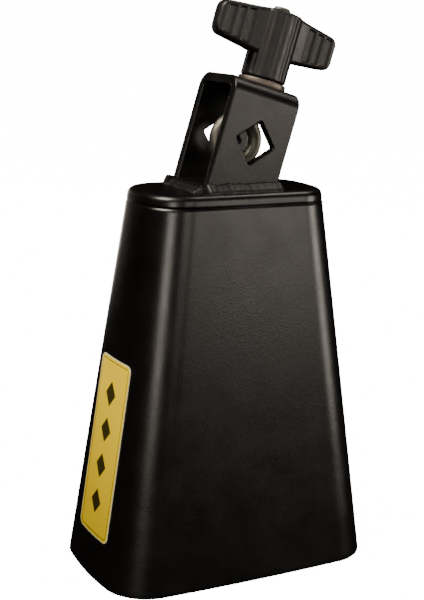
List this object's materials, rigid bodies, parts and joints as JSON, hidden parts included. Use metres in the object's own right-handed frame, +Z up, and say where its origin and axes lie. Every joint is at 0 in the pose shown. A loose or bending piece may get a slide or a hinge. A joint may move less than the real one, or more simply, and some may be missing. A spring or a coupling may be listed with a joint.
{
  "type": "rod-mounted cowbell",
  "caption": "Tapered steel percussion bell with a leaning U-shaped clamp bracket, a diamond rod seat, a turned eye bolt, a washer and a winged tightening handle.",
  "frame": {"origin": "centre of the open mouth, at the bell's lower rim", "axes": "+X across the bell's width, to the side the bracket leans towards; +Y to the rear wide face; +Z up through the crown"},
  "size_m": [0.0978, 0.0592, 0.1864],
  "materials": {
    "shell_front": "satin black powder coat",
    "shell_rear": "satin black powder coat",
    "seam_weld_left": "satin black powder coat",
    "seam_weld_right": "satin black powder coat",
    "crown_cap": "satin black powder coat",
    "crown_weld": "satin black powder coat",
    "side_label": "printed yellow vinyl",
    "bracket_strap": "satin black powder coat",
    "bracket_base_plate": "satin black powder coat",
    "ear_weld_front": "satin black powder coat",
    "ear_weld_rear": "satin black powder coat",
    "plate_weld_left": "satin black powder coat",
    "plate_weld_right": "satin black powder coat",
    "eye_bolt": "satin zinc plate",
    "flat_washer": "satin zinc plate",
    "wing_nut_body": "moulded black plastic",
    "wing_nut_insert": "satin zinc plate"
  },
  "bodies": {
    "bell": {"shell_front": "shell_front", "shell_rear": "shell_rear", "seam_weld_left": "seam_weld_left", "seam_weld_right": "seam_weld_right", "crown_cap": "crown_cap", "crown_weld": "crown_weld", "side_label": "side_label", "bracket_strap": "bracket_strap", "bracket_base_plate": "bracket_base_plate", "ear_weld_front": "ear_weld_front", "ear_weld_rear": "ear_weld_rear", "plate_weld_left": "plate_weld_left", "plate_weld_right": "plate_weld_right"},
    "washer": {"flat_washer": "flat_washer"},
    "eye": {"eye_bolt": "eye_bolt"},
    "nut": {"wing_nut_body": "wing_nut_body", "wing_nut_insert": "wing_nut_insert"}
  },
  "joints": [
    {"name": "clamp_swivel", "type": "hinge", "parent": "bell", "child": "washer", "pos_m": [0.01181, 0, 0.15973], "axis": [0.2782, 0, 0.9605], "range_deg": [-34, 34]},
    {"name": "eye_bolt_lift", "type": "slide", "parent": "washer", "child": "eye", "axis": [0.2782, 0, 0.9605], "range_m": [-0.0016, 0.0048]},
    {"name": "wing_nut_turn", "type": "hinge", "parent": "washer", "child": "nut", "pos_m": [0.01236, 0, 0.16165], "axis": [-0.2782, 0, -0.9605], "range_deg": [-450, 1350]}
  ],
  "couplings": [
    {"joint": "eye_bolt_lift", "follows": "wing_nut_turn", "m_per_rad": 0.00020213}
  ]
}
